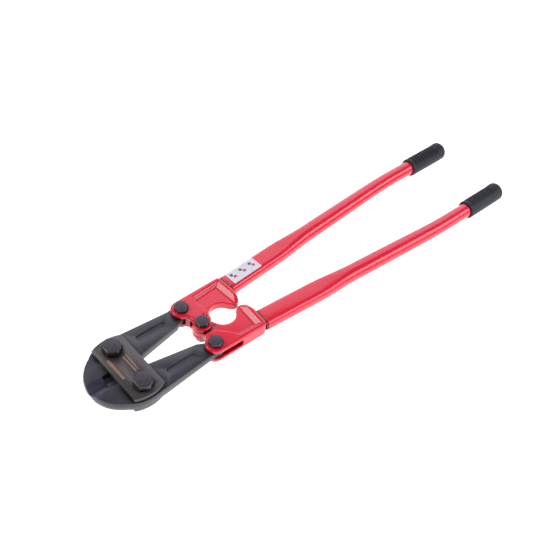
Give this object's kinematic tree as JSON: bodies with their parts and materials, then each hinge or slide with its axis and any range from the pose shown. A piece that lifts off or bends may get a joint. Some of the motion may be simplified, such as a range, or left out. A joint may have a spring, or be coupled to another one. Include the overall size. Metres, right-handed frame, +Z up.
{
  "type": "bolt cutters",
  "caption": "Long-handled bolt cutters with bevelled forged jaws, side straps, forked heads, steel tube handles and ribbed rubber grips.",
  "frame": {"origin": "middle of the underside of the bounding box; the undersides of the two jaw nuts lie in the plane z = 0", "axes": "+X along the tool from the jaws to the grips, +Y towards the right-hand handle as seen from the grips, +Z up along every pivot"},
  "size_m": [0.9244, 0.1922, 0.0587],
  "materials": {
    "top_strap": "brown-black phosphate, satin",
    "bottom_strap": "brown-black phosphate, satin",
    "jaw_bolt_right": "black oxide with bright worn chamfers",
    "jaw_bolt_left": "black oxide with bright worn chamfers",
    "jaw_nut_right": "black oxide",
    "jaw_nut_left": "black oxide",
    "jaw_right": "brown-black phosphate with a ground bevel",
    "jaw_left": "brown-black phosphate with a ground bevel",
    "head_right": "glossy red paint on a forging",
    "head_left": "glossy red paint on a forging",
    "handle_tube_right": "glossy red paint on steel tube",
    "handle_tube_left": "glossy red paint on steel tube",
    "grip_right": "matte moulded rubber",
    "grip_left": "matte moulded rubber",
    "tail_bolt_right": "black oxide",
    "tail_washer_right": "black oxide",
    "tail_nut_right": "black oxide",
    "tail_bolt_left": "black oxide",
    "tail_washer_left": "black oxide",
    "tail_nut_left": "black oxide",
    "centre_bolt": "black oxide",
    "centre_washer": "black oxide",
    "centre_nut": "black oxide",
    "centre_lock_pin": "painted over with the head",
    "rating_label": "printed label with a fine grid"
  },
  "bodies": {
    "strap_pack": {"top_strap": "top_strap", "bottom_strap": "bottom_strap", "jaw_bolt_right": "jaw_bolt_right", "jaw_bolt_left": "jaw_bolt_left", "jaw_nut_right": "jaw_nut_right", "jaw_nut_left": "jaw_nut_left"},
    "right_jaw": {"jaw_right": "jaw_right"},
    "left_jaw": {"jaw_left": "jaw_left"},
    "right_handle": {"head_right": "head_right", "handle_tube_right": "handle_tube_right", "grip_right": "grip_right", "tail_bolt_right": "tail_bolt_right", "tail_washer_right": "tail_washer_right", "tail_nut_right": "tail_nut_right", "centre_bolt": "centre_bolt", "centre_washer": "centre_washer", "centre_nut": "centre_nut", "centre_lock_pin": "centre_lock_pin", "rating_label": "rating_label"},
    "left_handle": {"head_left": "head_left", "handle_tube_left": "handle_tube_left", "grip_left": "grip_left", "tail_bolt_left": "tail_bolt_left", "tail_washer_left": "tail_washer_left", "tail_nut_left": "tail_nut_left"}
  },
  "joints": [
    {"name": "right_jaw_hinge", "type": "hinge", "parent": "strap_pack", "child": "right_jaw", "pos_m": [-0.38885, 0.043, 0.0306], "axis": [0, 0, -1], "range_deg": [0, 8.7]},
    {"name": "right_handle_hinge", "type": "hinge", "parent": "right_jaw", "child": "right_handle", "pos_m": [-0.24645, 0.0468, 0.0306], "axis": [0, 0, 1], "range_deg": [0, 60]},
    {"name": "left_jaw_hinge", "type": "hinge", "parent": "strap_pack", "child": "left_jaw", "pos_m": [-0.38885, -0.043, 0.0306], "axis": [0, 0, 1], "range_deg": [0, 8.7]},
    {"name": "left_handle_hinge", "type": "hinge", "parent": "left_jaw", "child": "left_handle", "pos_m": [-0.24645, -0.0468, 0.0306], "axis": [0, 0, -1], "range_deg": [0, 60]}
  ],
  "couplings": [
    {"joint": "right_jaw_hinge", "follows": "right_handle_hinge", "ratio": 0.1444},
    {"joint": "left_handle_hinge", "follows": "right_handle_hinge", "ratio": 1},
    {"joint": "left_jaw_hinge", "follows": "right_handle_hinge", "ratio": 0.1444}
  ]
}
